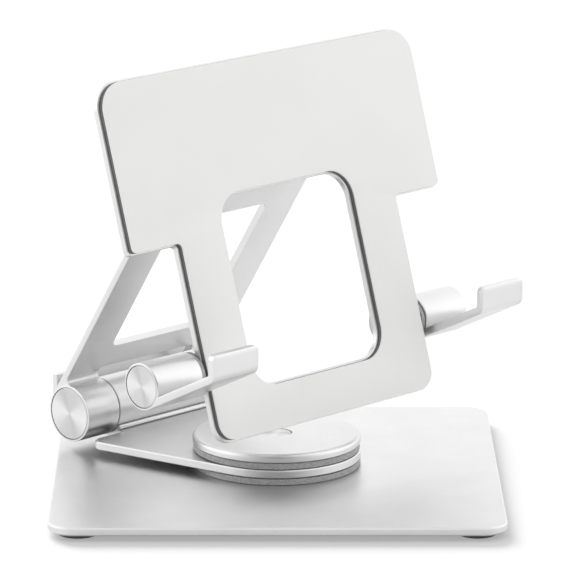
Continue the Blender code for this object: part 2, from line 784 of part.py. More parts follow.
def add_hook_boss(plate, side, sign):
    """The fixed half of a hook's hinge, behind the plate's leg."""
    centre = (0, HOOK_RADIUS - AXIS_DEPTH, HOOK_HEIGHT - UPPER_HINGE_HEIGHT)
    start = sign * BOSS_INNER
    end = sign * LEG_HALF
    boss = rod("hook_boss_" + side, UPPER, None, HOOK_RADIUS, start, end, "X", centre)
    front = METAL_FRONT + SHEET / 2 - AXIS_DEPTH
    reach = 2 * HOOK_RADIUS
    trim = block(
        "hook_boss_trim_" + side,
        UPPER,
        None,
        (-WING_HALF, front - reach, centre[2] - reach),
        (WING_HALF, front, centre[2] + reach),
    )
    cut(boss, trim)
    join(plate, boss)
    bore = HOOK_PIN_RADIUS + PIN_CLEARANCE
    floor = sign * (BOSS_INNER + BOSS_WALL)
    name = "hook_thread_" + side
    cut(plate, rod(name, UPPER, None, bore, floor, sign * (LEG_HALF + CUT), "X", centre, SMALL_ROUND))


def pad():
    plate_layer("pad_backing", FOAM, PAD_THICK + GAP / 2, METAL_FRONT - GAP / 2, PAD_INSET)
    plate_layer("tablet_pad", SILICONE, 0.0, PAD_THICK - GAP / 2, PAD_INSET / 2)


# ---------------------------------------------------------------- hooks

def hook_profile():
    """Side view of a hook's strip: along the arm, round the bend, up the lip. (y, z) points."""
    outer = BLEND - HOOK_RADIUS
    inner = outer + HOOK_SHEET
    lip_turn = math.pi / 2 + (math.pi / 2 - HOOK_BEND)
    along = Vector((math.cos(lip_turn), math.sin(lip_turn)))
    across = Vector((-along.y, along.x))
    corner = Vector((-HOOK_REACH, outer))
    tip = corner + along * HOOK_LIP
    tip_inner = tip - across * HOOK_SHEET
    inner_run = HOOK_SHEET * math.tan(HOOK_BEND / 2)
    inner_corner = Vector((-HOOK_REACH + inner_run, inner))
    return rounded(
        [
            (0, outer, 0),
            (0, inner, 0),
            (*inner_corner, HOOK_BEND_RADIUS),
            (*tip_inner, HOOK_TIP_RADIUS),
            (*tip, HOOK_TIP_RADIUS),
            (*corner, HOOK_BEND_RADIUS + HOOK_SHEET),
        ],
        steps=5,
    )


def hook(side, sign):
    axis = HOOK_AXES[side]
    name = "hook_" + side
    barrel = rod(name, axis, ALUMINIUM, HOOK_RADIUS, sign * HOOK_INNER, sign * HOOK_END)
    drawing = hook_profile()
    strip = sheet(name + "_strip", axis, None, [drawing], HOOK_INNER, HOOK_HALF)
    stand = Matrix(((0, 0, 1, 0), (1, 0, 0, 0), (0, 1, 0, 0), (0, 0, 0, 1)))
    if sign < 0:
        stand = Matrix.Translation((-HOOK_INNER - HOOK_HALF, 0, 0)) @ stand
    strip.data.transform(stand)
    join(barrel, strip)
    bore = HOOK_PIN_RADIUS + PIN_CLEARANCE
    start = sign * (HOOK_INNER - CUT)
    end = sign * (HOOK_HALF + CUT)
    cut(barrel, rod(name + "_bore", axis, None, bore, start, end, sides=SMALL_ROUND))
    floor = sign * HOOK_COUNTERBORE_FLOOR
    cut(barrel, rod(name + "_counterbore", axis, None, HOOK_COUNTERBORE, floor, end, sides=SMALL_ROUND))
    seat = rod(name + "_cap_seat", axis, None, HOOK_RADIUS + GAP, sign * HOOK_END, end)
    cut(barrel, seat)
    hook_hardware(side, sign, axis)


def hook_hardware(side, sign, axis):
    """Shoulder screw, friction washer and spun end cap of one hook."""
    name = "hook_" + side
    washer_start = sign * (LEG_HALF + GAP)
    washer_end = sign * (HOOK_INNER - GAP)
    loose = HOOK_PIN_RADIUS + PIN_CLEARANCE
    washer = HOOK_RADIUS - HARDWARE_PLAY
    tube(name + "_washer", axis, POLYMER, washer, loose, washer_start, washer_end)
    head_start = sign * (HOOK_COUNTERBORE_FLOOR + GAP)
    head_end = head_start + sign * HOOK_SCREW_HEAD
    head = HOOK_COUNTERBORE - HARDWARE_PLAY
    screw = rod(name + "_screw", axis, STEEL, head, head_start, head_end, sides=SMALL_ROUND)
    shank_start = sign * (BOSS_INNER + BOSS_WALL + OVERLAP)
    shank_end = head_start + sign * OVERLAP
    shank = rod(name + "_shank", axis, None, HOOK_PIN_RADIUS, shank_start, shank_end, sides=SMALL_ROUND)
    join(screw, shank)
    end_cap(name + "_cap", axis, sign, HOOK_RADIUS, HOOK_COUNTERBORE, HOOK_END, HOOK_HALF)


# ---------------------------------------------------------------- assembly

base_plate()
feet()
turntable_base()
turntable_screws()
pivot()
swivel_arm()
swivel_ring()
top_disc()
disc_cap()
support_plate()
hinge_hardware("lower_hinge", LOWER, LOWER_RADIUS, LOWER_PIN_RADIUS, LOWER_COUNTERBORE)
tablet_plate()
pad()
hinge_hardware("upper_hinge", UPPER, UPPER_RADIUS, UPPER_PIN_RADIUS, UPPER_COUNTERBORE)
for hook_side, hook_sign in LEFT_AND_RIGHT:
    hook(hook_side, hook_sign)
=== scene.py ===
"""Looks of the tablet stand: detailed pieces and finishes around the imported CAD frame."""

import json
import math

import bmesh
import bpy
from mathutils import Matrix, Vector

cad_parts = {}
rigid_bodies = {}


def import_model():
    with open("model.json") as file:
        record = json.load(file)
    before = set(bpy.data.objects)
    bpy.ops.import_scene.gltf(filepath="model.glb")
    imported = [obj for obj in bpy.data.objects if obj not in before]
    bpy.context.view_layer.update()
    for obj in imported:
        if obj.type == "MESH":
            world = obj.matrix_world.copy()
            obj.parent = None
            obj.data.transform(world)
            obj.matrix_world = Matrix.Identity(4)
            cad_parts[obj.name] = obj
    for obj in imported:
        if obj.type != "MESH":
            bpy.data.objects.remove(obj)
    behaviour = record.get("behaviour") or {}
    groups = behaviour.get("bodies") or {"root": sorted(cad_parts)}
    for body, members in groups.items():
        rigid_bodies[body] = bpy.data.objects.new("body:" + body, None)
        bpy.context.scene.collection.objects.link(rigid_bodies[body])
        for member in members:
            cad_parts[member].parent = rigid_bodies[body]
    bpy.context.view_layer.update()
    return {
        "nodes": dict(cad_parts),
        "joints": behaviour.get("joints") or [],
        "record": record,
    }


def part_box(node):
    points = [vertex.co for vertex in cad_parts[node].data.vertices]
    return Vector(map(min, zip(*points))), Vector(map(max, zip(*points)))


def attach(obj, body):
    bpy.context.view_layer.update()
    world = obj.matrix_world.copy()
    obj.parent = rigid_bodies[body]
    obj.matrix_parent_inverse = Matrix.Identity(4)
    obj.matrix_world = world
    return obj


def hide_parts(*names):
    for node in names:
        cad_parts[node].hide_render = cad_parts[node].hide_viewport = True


for old in list(bpy.data.objects):
    bpy.data.objects.remove(old, do_unlink=True)

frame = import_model()

MM = 0.001

# pose of the stand at rest, as in the CAD
SUPPORT_LEAN = math.radians(32.9)
PLATE_TILT = math.radians(16.6)
HOOK_RISE = math.radians(26.2)

# base and turntable
BASE_HALF = 80.0 * MM
BASE_CORNER = 9.0 * MM
BASE_CHAMFER = 0.6 * MM
PIVOT_SEAT = 8.3 * MM
PIVOT_SEAT_DEPTH = 1.85 * MM
PIVOT_HEAD = 7.9 * MM
PIVOT_HEAD_DEPTH = 1.65 * MM
PIVOT_DRIVE = 3.0 * MM
SCREW_CIRCLE = 26.0 * MM
SCREW_SEAT = 3.3 * MM
SCREW_SEAT_DEPTH = 1.75 * MM
SCREW_HEAD = 2.95 * MM
SCREW_HEAD_DEPTH = 1.55 * MM
SCREW_DRIVE = 1.2 * MM
OVERCUT = 1.0 * MM           # how far a cutter reaches past the face it opens
CUT_DEPTH = 30.0 * MM        # half depth of the cutters that go right through a sheet
FOOT_RADIUS = 7.2 * MM
FOOT_INSET = 10.6 * MM
FOOT_HEIGHT = 2.0 * MM
DISC_RADIUS = 30.5 * MM
DISC_CHAMFER = 1.3 * MM
CAP_RADIUS = 5.5 * MM
CAP_SEAT_DEPTH = 1.2 * MM
RING_HOLE = 14.0 * MM
RING_SETBACK = 0.3 * MM
RING_EDGE = 0.25 * MM
ARM_FLARE = math.radians(10.5)
ARM_REAR_EDGE = 55.5 * MM
ARM_REAR_CORNER = 4.5 * MM
ARM_BOTTOM = 2.5 * MM
ARM_TOP = 5.5 * MM
RING_TOP = 8.1 * MM
DISC_TOP = 11.4 * MM
SEAM = 0.25 * MM
KNUCKLE_FILLET = 0.9 * MM
TONGUE = 6.0 * MM            # overlap of the knuckle's tongue and the arm

# hinges
LOWER_RADIUS = 10.5 * MM
LOWER_SETBACK = 67.4 * MM
UPPER_RADIUS = 8.4 * MM
MIDDLE_HALF = 23.7 * MM
MIDDLE_SETBACK = 0.4 * MM    # the support's middle knuckle is this much thinner
KNUCKLE_START = 24.0 * MM
HINGE_HALF = 39.6 * MM
FLANGE_FRONT = 10.7 * MM
FLANGE_TOP = 12.0 * MM
FLANGE_HALF = 35.5 * MM
FLANGE_ROOT = 4.0 * MM
PIN_BORE = 3.3 * MM
UPPER_PIN_BORE = 2.8 * MM
CAP_RIM = 0.75 * MM          # rim of the knuckle left round an end cap
CAP_SEAM = 0.16 * MM
CAP_DEPTH = 2.4 * MM

# rear support
SHEET = 2.6 * MM
HINGE_SPAN = 114.6 * MM
SUPPORT_BACK = LOWER_RADIUS - 0.06 * MM
SUPPORT_WINDOW = (23.8 * MM, 23.0 * MM, 84.5 * MM, 3.0 * MM)
SUPPORT_FILLET = 2.0 * MM
SHEET_START = 3.0 * MM
NOTCH_HALF = 24.2 * MM
NOTCH_CORNER = 2.0 * MM
NOTCH_DEPTH = 12.5 * MM
UPPER_SHOULDER = 10.6 * MM

# tablet plate, heights along the plate
# the pad is kept thin and its dark backing thick, so the backing's dark side also stands in for the
# shade on the pad's edge: partly real dark foam, partly painted shade
PAD_SKIN = 0.6 * MM
PAD_INSET = 0.75 * MM
PAD_EDGE = 0.2 * MM
PAD_GAP = 0.02 * MM          # between the pad and its backing
BACKING_INSET = 0.7 * MM
BACKING_EDGE = 0.1 * MM
BACKING_GAP = 0.05 * MM      # between the backing and the plate
METAL_FRONT = 1.8 * MM
METAL_BACK = METAL_FRONT + SHEET
AXIS_DEPTH = METAL_BACK + UPPER_RADIUS
AXIS_HEIGHT = 122.9 * MM
PLATE_LOW = 24.0 * MM
PLATE_HIGH = 156.2 * MM
WING_LOW = 95.3 * MM
WING_HALF = 79.0 * MM
LEG_HALF = 55.5 * MM
PLATE_CORNER = 10.0 * MM
WING_CORNER = 2.0 * MM
FOOT_CORNER = 6.5 * MM
PLATE_WINDOW = (33.0 * MM, 40.7 * MM, 108.8 * MM, 10.0 * MM)
HOOK_HEIGHT = 50.2 * MM
BOSS_INNER = 44.2 * MM
ROOT_SINK = 0.8 * MM         # how far knuckles and bosses reach into the plate
WEB_SHARE = 0.62
THREAD_END = 1.5 * MM        # closed inner end of a boss

# hooks
HOOK_RADIUS = 8.4 * MM
HOOK_INNER = 57.6 * MM
HOOK_HALF = 79.6 * MM
HOOK_SHEET = 2.8 * MM
HOOK_REACH = 35.6 * MM
HOOK_LIP = 9.3 * MM
HOOK_BEND_RADIUS = 3.6 * MM
HOOK_LIP_CORNER = 2.0 * MM
HOOK_BORE = 2.3 * MM
STRIP_SINK = 0.06 * MM       # keeps the strip's outer face just inside the barrel
BEND_CUTS = 12

EDGE_WIDTH = 0.3 * MM        # bright edges left by the cutter
MERGE = 0.002 * MM
SIDES = (("left", -1), ("right", 1))
LATHE_STEPS = 128

# studio: radiance of the surroundings by direction, then the floor and the lamp that washes it
WORLD_RIGHT = 1.6
WORLD_LEFT = 1.85
WORLD_BACK = 1.28
WORLD_FRONT = 0.06
WORLD_TOP = 1.15
FLOOR_REACH = 8.0
FLOOR_GLOW = 0.32
FLOOR_WASH = 10.5
WASH_ANGLE = math.radians(38)
WASH_SLANT = math.radians(68)
WASH_HEADING = math.radians(-158)

# camera: place from the middle of the base's front top edge, and its turns
CAMERA_LENS = 295.05         # for a sensor 36 wide
CAMERA_OFFSET = (-9.87 * MM, -1548.1 * MM, 466.7 * MM)
CAMERA_HEADING = math.radians(-0.4508)
CAMERA_DIP = math.radians(13.795)
CAMERA_ROLL = math.radians(0.1144)


# ---------------------------------------------------------------- places taken from the frame

JOINTS = {joint["name"]: joint for joint in frame["joints"]}
AXIS = Vector(JOINTS["lower_hinge"]["axis"]).normalized()
UP = Vector((0, 0, 1))
BACK = UP.cross(AXIS)


def axes_at(position, lean=0.0):
    """A frame with X along the hinges, Y backwards and Z up, leaning by an angle about X."""
    turn = Matrix((AXIS, BACK, UP)).transposed().to_4x4()
    return Matrix.Translation(position) @ turn @ Matrix.Rotation(lean, 4, "X")


BASE_LOW, BASE_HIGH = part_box("base_plate")
BASE_MIDDLE = (BASE_LOW + BASE_HIGH) / 2
BASE = Matrix.Translation((BASE_MIDDLE.x, BASE_MIDDLE.y, 0))
BASE_TOP = BASE_HIGH.z
SWIVEL = axes_at(Vector(JOINTS["swivel"]["pos_m"]))
SPINDLE = Matrix.Translation(Vector(JOINTS["swivel"]["pos_m"]))
LOWER = axes_at(Vector(JOINTS["lower_hinge"]["pos_m"]), SUPPORT_LEAN)
UPPER = axes_at(Vector(JOINTS["upper_hinge"]["pos_m"]), -PLATE_TILT)
HOOK_AXIS = axes_at(Vector(JOINTS["hook_left_hinge"]["pos_m"]), -HOOK_RISE)
ALONG_AXIS = Matrix.Rotation(math.pi / 2, 4, "Y")     # turns local Z onto the hinge axis


# ---------------------------------------------------------------- materials

def new_material(name, colour, roughness, metallic):
    made = bpy.data.materials.new(name)
    made.use_nodes = True
    shader = made.node_tree.nodes["Principled BSDF"]
    shader.inputs["Base Color"].default_value = (*colour, 1.0)
    shader.inputs["Roughness"].default_value = roughness
    shader.inputs["Metallic"].default_value = metallic
    return made, made.node_tree, shader


def add(tree, kind, **settings):
    made = tree.nodes.new(kind)
    for key, value in settings.items():
        setattr(made, key, value)
    return made


def noise(tree, scale, detail=2.0, stretch=(1, 1, 1)):
    """Noise in the piece's own metres, scale in features per metre."""
    place = add(tree, "ShaderNodeTexCoord")
    mapping = add(tree, "ShaderNodeMapping")
    mapping.inputs["Scale"].default_value = stretch
    texture = add(tree, "ShaderNodeTexNoise")
    texture.inputs["Scale"].default_value = scale
    texture.inputs["Detail"].default_value = detail
    tree.links.new(place.outputs["Object"], mapping.inputs["Vector"])
    tree.links.new(mapping.outputs["Vector"], texture.inputs["Vector"])
    return texture.outputs["Fac"]


def spread(tree, value, low, high):
    """Maps the middle of a noise's range onto low to high, for a roughness."""
    step = add(tree, "ShaderNodeMapRange")
    step.inputs["From Min"].default_value = 0.3
    step.inputs["From Max"].default_value = 0.7
    step.inputs["To Min"].default_value = low
    step.inputs["To Max"].default_value = high
    tree.links.new(value, step.inputs["Value"])
    return step.outputs["Result"]


def tint(tree, value, dark, light):
    """A colour between two others, by a noise."""
    ramp = add(tree, "ShaderNodeValToRGB")
    ramp.color_ramp.elements[0].position = 0.3
    ramp.color_ramp.elements[0].color = (*dark, 1.0)
    ramp.color_ramp.elements[1].position = 0.7
    ramp.color_ramp.elements[1].color = (*light, 1.0)
    tree.links.new(value, ramp.inputs["Fac"])
    return ramp.outputs["Color"]


def bump(tree, shader, height, depth, strength=1.0):
    relief = add(tree, "ShaderNodeBump")
    relief.inputs["Distance"].default_value = depth
    relief.inputs["Strength"].default_value = strength
    tree.links.new(height, relief.inputs["Height"])
    tree.links.new(relief.outputs["Normal"], shader.inputs["Normal"])


def blasted_aluminium(name, grey, roughness):
    """Bead-blasted and anodised: a very fine grain, and slow changes of sheen over the sheet."""
    made, tree, shader = new_material(name, (grey, grey, grey * 0.998), roughness, 1.0)
    patches = noise(tree, 55.0, 3.0)
    colour = tint(tree, patches, (grey * 0.97,) * 3, (grey * 1.02,) * 3)
    tree.links.new(colour, shader.inputs["Base Color"])
    rough = spread(tree, noise(tree, 900.0, 4.0), roughness - 0.035, roughness + 0.035)
    tree.links.new(rough, shader.inputs["Roughness"])
    bump(tree, shader, noise(tree, 7000.0, 2.0), 0.006 * MM, 0.5)
    return made


def cut_edge():
    """Edges left bright by the cutter."""
    made, tree, shader = new_material("cut_edge", (0.95, 0.95, 0.95), 0.16, 1.0)
    rough = spread(tree, noise(tree, 2500.0, 2.0), 0.12, 0.22)
    tree.links.new(rough, shader.inputs["Roughness"])
    return made


def spun_aluminium():
    """Turned faces: fine rings round the piece's own Z axis stretch each highlight into a fan."""
    made, tree, shader = new_material("spun_aluminium", (0.74, 0.73, 0.735), 0.42, 1.0)
    shader.inputs["Anisotropic"].default_value = 0.95
    tangent = add(tree, "ShaderNodeTangent", direction_type="RADIAL", axis="Z")
    tree.links.new(tangent.outputs["Tangent"], shader.inputs["Tangent"])
    place = add(tree, "ShaderNodeTexCoord")
    rings = add(tree, "ShaderNodeTexWave", wave_type="RINGS", rings_direction="Z")
    rings.inputs["Scale"].default_value = 900.0
    rings.inputs["Distortion"].default_value = 1.5
    tree.links.new(place.outputs["Object"], rings.inputs["Vector"])
    bump(tree, shader, rings.outputs["Fac"], 0.004 * MM, 0.4)
    return made


def pebbled_polymer():
    """Grey moulded rings with a pebbled skin."""
    made, tree, shader = new_material("pebbled_polymer", (0.36, 0.36, 0.36), 0.5, 0.0)
    pebbles = noise(tree, 1500.0, 3.0)
    tree.links.new(tint(tree, pebbles, (0.27,) * 3, (0.47,) * 3), shader.inputs["Base Color"])
    tree.links.new(spread(tree, pebbles, 0.58, 0.42), shader.inputs["Roughness"])
    bump(tree, shader, pebbles, 0.08 * MM, 0.8)
    return made


def pad_silicone():
    made, tree, shader = new_material("pad_silicone", (0.80, 0.80, 0.79), 0.62, 0.0)
    patches = noise(tree, 30.0, 2.0)
    colour = tint(tree, patches, (0.79, 0.79, 0.78), (0.81, 0.81, 0.80))
    tree.links.new(colour, shader.inputs["Base Color"])
    fine = noise(tree, 4200.0, 2.0)
    tree.links.new(spread(tree, fine, 0.56, 0.68), shader.inputs["Roughness"])
    bump(tree, shader, fine, 0.02 * MM, 0.5)
    shader.inputs["Sheen Weight"].default_value = 0.08
    return made


def backing_foam():
    # dark foam backing: its own dark colour, and on its widened side also a painted shade standing for
    # the shade on the pad's edge
    made, tree, shader = new_material("backing_foam", (0.13, 0.13, 0.13), 0.9, 0.0)
    cells = noise(tree, 3000.0, 2.0)
    tree.links.new(tint(tree, cells, (0.10,) * 3, (0.18,) * 3), shader.inputs["Base Color"])
    bump(tree, shader, cells, 0.05 * MM, 0.7)
    return made


def foot_rubber():
    made, tree, shader = new_material("foot_rubber", (0.07, 0.07, 0.07), 0.75, 0.0)
    fine = noise(tree, 2600.0, 3.0)
    tree.links.new(tint(tree, fine, (0.05,) * 3, (0.10,) * 3), shader.inputs["Base Color"])
    tree.links.new(spread(tree, fine, 0.68, 0.82), shader.inputs["Roughness"])
    bump(tree, shader, fine, 0.03 * MM, 0.6)
    return made


def zinc_steel():
    made, tree, shader = new_material("zinc_steel", (0.55, 0.55, 0.57), 0.33, 1.0)
    cloud = noise(tree, 600.0, 3.0)
    colour = tint(tree, cloud, (0.50, 0.50, 0.52), (0.60, 0.60, 0.61))
    tree.links.new(colour, shader.inputs["Base Color"])
    tree.links.new(spread(tree, cloud, 0.28, 0.42), shader.inputs["Roughness"])
    bump(tree, shader, noise(tree, 3500.0), 0.006 * MM, 0.5)
    return made


def nylon():
    made, tree, shader = new_material("nylon", (0.80, 0.80, 0.77), 0.45, 0.0)
    cloud = noise(tree, 800.0, 2.0)
    colour = tint(tree, cloud, (0.77, 0.77, 0.74), (0.82, 0.82, 0.79))
    tree.links.new(colour, shader.inputs["Base Color"])
    tree.links.new(spread(tree, cloud, 0.40, 0.52), shader.inputs["Roughness"])
    return made


SATIN = blasted_aluminium("satin_aluminium", 0.71, 0.37)
EDGE = cut_edge()
SPUN = spun_aluminium()
PEBBLE = pebbled_polymer()
SILICONE = pad_silicone()
FOAM_AND_SHADE = backing_foam()
RUBBER = foot_rubber()
STEEL = zinc_steel()
NYLON = nylon()


# ---------------------------------------------------------------- outlines

def arc(centre, radius, start, end, steps):
    turns = [start + (end - start) * i / steps for i in range(steps + 1)]
    return [(centre[0] + radius * math.cos(t), centre[1] + radius * math.sin(t)) for t in turns]


def rounded(corners, steps=10):
    """The outline through (x, y, radius) corners, each rounded with an arc."""
    points = []
    count = len(corners)
    for i, (x, y, radius) in enumerate(corners):
        here = Vector((x, y))
        if radius == 0:
            points.append((x, y))
            continue
        before = (Vector(corners[i - 1][:2]) - here).normalized()
        after = (Vector(corners[(i + 1) % count][:2]) - here).normalized()
        half = before.angle(after) / 2
        centre = here + (before + after).normalized() * (radius / math.sin(half))
        start = here + before * (radius / math.tan(half)) - centre
        end = here + after * (radius / math.tan(half)) - centre
        first = math.atan2(start.y, start.x)
        points += arc(centre, radius, first, first - start.angle_signed(end), steps)
    return points


def box_outline(half, low, high, radius, steps=10):
    corners = [(-half, low), (half, low), (half, high), (-half, high)]
    return rounded([(x, y, radius) for x, y in corners], steps)


def plate_outline(inset=0.0):
    low = PLATE_LOW - AXIS_HEIGHT + inset
    wing = WING_LOW - AXIS_HEIGHT + inset
    high = PLATE_HIGH - AXIS_HEIGHT - inset
    head = WING_HALF - inset
    leg = LEG_HALF - inset
    return rounded(
        [
            (-leg, low, FOOT_CORNER),
            (leg, low, FOOT_CORNER),
            (leg, wing, WING_CORNER),
            (head, wing, WING_CORNER),
            (head, high, PLATE_CORNER),
            (-head, high, PLATE_CORNER),
            (-head, wing, WING_CORNER),
            (-leg, wing, WING_CORNER),
        ]
    )


def plate_window(inset=0.0):
    half, low, high, radius = PLATE_WINDOW
    bottom = low - AXIS_HEIGHT - inset
    top = high - AXIS_HEIGHT + inset
    return box_outline(half + inset, bottom, top, radius + inset, 12)


# ---------------------------------------------------------------- meshes

def smooth(mesh):
    mesh.shade_smooth()
    mesh.set_sharp_from_angle(angle=math.radians(28))


def piece(name, mesh, place, materials):
    made = bpy.data.objects.new(name, mesh)
    bpy.context.scene.collection.objects.link(made)
    made.matrix_world = place
    mesh.materials.clear()
    for finish in materials:
        mesh.materials.append(finish)
    return made


def sheet_mesh(name, outlines, low, high, edge=EDGE_WIDTH, round_steps=0):
    """A plate from closed outlines in X and Y, between two heights, with chamfered or rounded rims.

    The rims' faces take the second material.
    """
    drawing = bpy.data.curves.new(name, "CURVE")
    drawing.dimensions = "2D"
    drawing.fill_mode = "BOTH"
    drawing.extrude = (high - low) / 2 - edge
    drawing.bevel_depth = edge
    drawing.bevel_resolution = round_steps
    drawing.offset = -edge
    for points in outlines:
        line = drawing.splines.new("POLY")
        line.points.add(len(points) - 1)
        for point, (x, y) in zip(line.points, points):
            point.co = (x, y, 0, 1)
        line.use_cyclic_u = True
    drawn = bpy.data.objects.new(name + "_outline", drawing)
    bpy.context.scene.collection.objects.link(drawn)
    bpy.context.view_layer.update()
    evaluated = drawn.evaluated_get(bpy.context.evaluated_depsgraph_get())
    mesh = bpy.data.meshes.new_from_object(evaluated)
    bpy.data.objects.remove(drawn)
    shape = bmesh.new()
    shape.from_mesh(mesh)
    bmesh.ops.remove_doubles(shape, verts=shape.verts, dist=MERGE)
    bmesh.ops.translate(shape, verts=shape.verts, vec=(0, 0, (low + high) / 2))
    bmesh.ops.recalc_face_normals(shape, faces=shape.faces)
    for face in shape.faces:
        face.material_index = 1 if 0.08 < abs(face.normal.z) < 0.995 else 0
    shape.to_mesh(mesh)
    shape.free()
    mesh.name = name
    return mesh


def upright(mesh):
    """Stands a flat plate up: its outline lies in X and Z, its front towards -Y."""
    mesh.transform(Matrix(((1, 0, 0, 0), (0, 0, 1, 0), (0, 1, 0, 0), (0, 0, 0, 1))))
    mesh.flip_normals()
    return mesh


def sideways(mesh):
    """Lays a side view's outline in Y and Z, its thickness along X."""
    mesh.transform(Matrix(((0, 0, 1, 0), (1, 0, 0, 0), (0, 1, 0, 0), (0, 0, 0, 1))))
    return mesh


def lathe_mesh(name, profile, bright=(), steps=LATHE_STEPS):
    """A solid turned about Z. The profile runs from the axis out and back to it, as (radius, height).

    bright lists the profile's stretches that take the second material.
    """
    shape = bmesh.new()
    rings = []
    for radius, height in profile:
        if radius == 0:
            rings.append([shape.verts.new((0, 0, height))])
            continue
        ring = arc((0, 0), radius, 0, math.tau, steps)[:-1]
        rings.append([shape.verts.new((x, y, height)) for x, y in ring])
    for number, (upper, lower) in enumerate(zip(rings, rings[1:])):
        for i in range(steps):
            j = (i + 1) % steps
            corners = [upper[i % len(upper)], upper[j % len(upper)]]
            corners += [lower[j % len(lower)], lower[i % len(lower)]]
            face = shape.faces.new(list(dict.fromkeys(corners)))
            face.material_index = 1 if number in bright else 0
    bmesh.ops.recalc_face_normals(shape, faces=shape.faces)
    mesh = bpy.data.meshes.new(name)
    shape.to_mesh(mesh)
    shape.free()
    return mesh


def ring_mesh(name, profile, steps=LATHE_STEPS):
    """A ring turned about Z from a closed profile of (radius, height)."""
    shape = bmesh.new()
    rings = [
        [shape.verts.new((x, y, height)) for x, y in arc((0, 0), radius, 0, math.tau, steps)[:-1]]
        for radius, height in profile
    ]
    for ring, after in zip(rings, rings[1:] + rings[:1]):
        for i in range(steps):
            j = (i + 1) % steps
            shape.faces.new((ring[i], ring[j], after[j], after[i]))
    bmesh.ops.recalc_face_normals(shape, faces=shape.faces)
    mesh = bpy.data.meshes.new(name)
    shape.to_mesh(mesh)
    shape.free()
    return mesh


def cylinder_mesh(name, radius, low, high, chamfer=0.0, steps=LATHE_STEPS):
    if chamfer == 0:
        return lathe_mesh(name, [(0, high), (radius, high), (radius, low), (0, low)], steps=steps)
    inner = radius - chamfer
    profile = [(0, high), (inner, high), (radius, high - chamfer)]
    profile += [(radius, low + chamfer), (inner, low), (0, low)]
    return lathe_mesh(name, profile, bright=(1, 3), steps=steps)


def block_mesh(name, low, high):
    shape = bmesh.new()
    bmesh.ops.create_cube(shape, size=1)
    low = Vector(low)
    high = Vector(high)
    place = Matrix.Translation((low + high) / 2) @ Matrix.Diagonal((*(high - low), 1))
    bmesh.ops.transform(shape, matrix=place, verts=shape.verts)
    mesh = bpy.data.meshes.new(name)
    shape.to_mesh(mesh)
    shape.free()
    return mesh


def combine(target, tools, operation):
    """Applies boolean tools, each an object that isn't needed afterwards."""
    for used in tools:
        step = target.modifiers.new(used.name, "BOOLEAN")
        step.operation = operation
        step.object = used
        step.material_mode = "TRANSFER"
    bake(target)
    for used in tools:
        bpy.data.objects.remove(used)
    return target


def bake(target):
    """Applies the piece's modifiers to its mesh."""
    bpy.context.view_layer.update()
    evaluated = target.evaluated_get(bpy.context.evaluated_depsgraph_get())
    mesh = bpy.data.meshes.new_from_object(evaluated)
    target.modifiers.clear()
    target.data = mesh
    return target


def tool(name, mesh, place, materials=()):
    """A shape for combine, which bare cuts leave without a finish of its own."""
    return piece("tool_" + name, mesh, place, materials)


def along(mesh):
    """Turns a lathe mesh's Z onto local X."""
    mesh.transform(ALONG_AXIS)
    return mesh


def finish_piece(made, body, slot, *nodes, turned=False):
    """Shades the piece and ties it to the frame. A turned piece keeps its own axis for its brushing."""
    smooth(made.data)
    if not turned:
        made.data.transform(made.matrix_world)
        made.matrix_world = Matrix.Identity(4)
    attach(made, body)
    if nodes:
        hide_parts(*nodes)
    return made


# ---------------------------------------------------------------- base

def screw_places():
    """The three screws of the turntable's base, round the swivel."""
    turns = [math.pi / 2 + i * math.tau / 3 for i in range(3)]
    return [Vector((SCREW_CIRCLE * math.cos(t), SCREW_CIRCLE * math.sin(t), 0)) for t in turns]


def seat_cutter(name, radius, depth, place, steps):
    """Cutter for a screw's seat in the base's underside, hung from the base's top face."""
    bottom = FOOT_HEIGHT - BASE_TOP
    mesh = cylinder_mesh("t", radius, bottom - OVERCUT, bottom + depth, steps=steps)
    return tool(name, mesh, place)


def base():
    outline = box_outline(BASE_HALF, -BASE_HALF, BASE_HALF, BASE_CORNER, 16)
    mesh = sheet_mesh("base_shell", [outline], FOOT_HEIGHT, BASE_TOP, BASE_CHAMFER)
    shell = piece("base_shell", mesh, BASE, [SATIN, EDGE])
    cutters = [seat_cutter("pivot_seat", PIVOT_SEAT, PIVOT_SEAT_DEPTH, SPINDLE, 64)]
    for number, spot in enumerate(screw_places()):
        place = SPINDLE @ Matrix.Translation(spot)
        cutters.append(seat_cutter(f"screw_seat_{number}", SCREW_SEAT, SCREW_SEAT_DEPTH, place, 48))
    combine(shell, cutters, "DIFFERENCE")
    finish_piece(shell, "base", "satin_aluminium", "base_plate")


def foot(name, place):
    """Rubber foot with a rounded rim and a moulded groove underneath."""
    profile = [
        (0, FOOT_HEIGHT - 0.25 * MM),
        (FOOT_RADIUS - 0.3 * MM, FOOT_HEIGHT - 0.25 * MM),
        (FOOT_RADIUS, FOOT_HEIGHT - 0.55 * MM),
        (FOOT_RADIUS, 0.6 * MM),
        (FOOT_RADIUS - 0.18 * MM, 0.2 * MM),
        (FOOT_RADIUS - 0.6 * MM, 0.0),
        (FOOT_RADIUS - 2.0 * MM, 0.0),
        (FOOT_RADIUS - 2.2 * MM, 0.25 * MM),
        (FOOT_RADIUS - 2.8 * MM, 0.25 * MM),
        (FOOT_RADIUS - 3.0 * MM, 0.0),
        (0, 0.0),
    ]
    made = piece(name + "_pad", lathe_mesh(name, profile, steps=72), place, [RUBBER, RUBBER])
    finish_piece(made, "base", "dark_rubber", name)


def feet():
    reach = BASE_HALF - FOOT_INSET
    for end, y in (("front", -reach), ("rear", reach)):
        for side, sign in SIDES:
            foot(f"foot_{end}_{side}", BASE @ Matrix.Translation((sign * reach, y, 0)))


